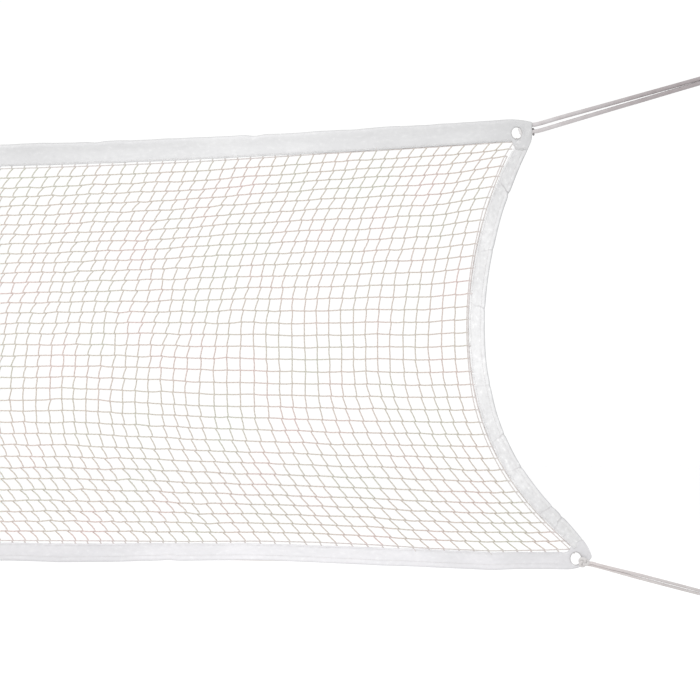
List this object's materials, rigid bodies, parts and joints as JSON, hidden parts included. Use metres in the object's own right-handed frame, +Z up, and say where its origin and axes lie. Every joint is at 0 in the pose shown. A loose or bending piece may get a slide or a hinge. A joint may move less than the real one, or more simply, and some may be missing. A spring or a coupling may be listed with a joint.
{
  "type": "portable court net",
  "caption": "Short white racket-sports net: woven mesh edged with folded tapes, cords run inside the tapes, and a looped cord tie at each corner.",
  "frame": {"origin": "middle of the fold along the top of the head tape, on the net's own plane", "axes": "+X along the net, +Y through its thickness away from the viewer, +Z up"},
  "size_m": [3.8548, 0.0195, 0.9966],
  "materials": {
    "tape": "white woven polyester tape with a slight satin sheen",
    "twine": "off-white twisted polyethylene netting twine",
    "cord": "off-white braided cord, greyer towards its ends",
    "thread": "tightly wound sewing thread"
  },
  "bodies": {
    "head": {"head_tape": "tape", "head_cord": "cord", "head_selvedge": "twine", "head_tie_end_left": "cord", "head_tie_end_right": "cord"},
    "panel": {"netting": "twine", "foot_tape": "tape", "foot_cord": "cord", "foot_selvedge": "twine", "side_tape_left": "tape", "side_cord_left": "cord", "side_selvedge_left": "twine", "foot_knot_left": "cord", "side_tape_right": "tape", "side_cord_right": "cord", "side_selvedge_right": "twine", "foot_knot_right": "cord"},
    "head_tie_left": {"head_tie_left": "cord", "head_whipping_left": "thread"},
    "head_tie_right": {"head_tie_right": "cord", "head_whipping_right": "thread"},
    "foot_tie_left": {"foot_tie_left": "cord", "foot_whipping_left": "thread"},
    "foot_tie_right": {"foot_tie_right": "cord", "foot_whipping_right": "thread"}
  },
  "joints": [
    {"name": "net_swing", "type": "hinge", "parent": "head", "child": "panel", "pos_m": [0, 0, -0.005], "axis": [1, 0, 0], "range_deg": [-45, 45]},
    {"name": "head_tie_right_swing", "type": "hinge", "parent": "head", "child": "head_tie_right", "pos_m": [1.533, 0, 0.0375], "axis": [0, 1, 0], "range_deg": [-45, 75]},
    {"name": "head_tie_left_swing", "type": "hinge", "parent": "head", "child": "head_tie_left", "pos_m": [-1.533, 0, 0.0375], "axis": [0, -1, 0], "range_deg": [-45, 75]},
    {"name": "foot_tie_right_swing", "type": "hinge", "parent": "panel", "child": "foot_tie_right", "pos_m": [1.637, 0, -0.755], "axis": [0, 1, 0], "range_deg": [-80, 75]},
    {"name": "foot_tie_left_swing", "type": "hinge", "parent": "panel", "child": "foot_tie_left", "pos_m": [-1.637, 0, -0.755], "axis": [0, -1, 0], "range_deg": [-80, 75]}
  ]
}
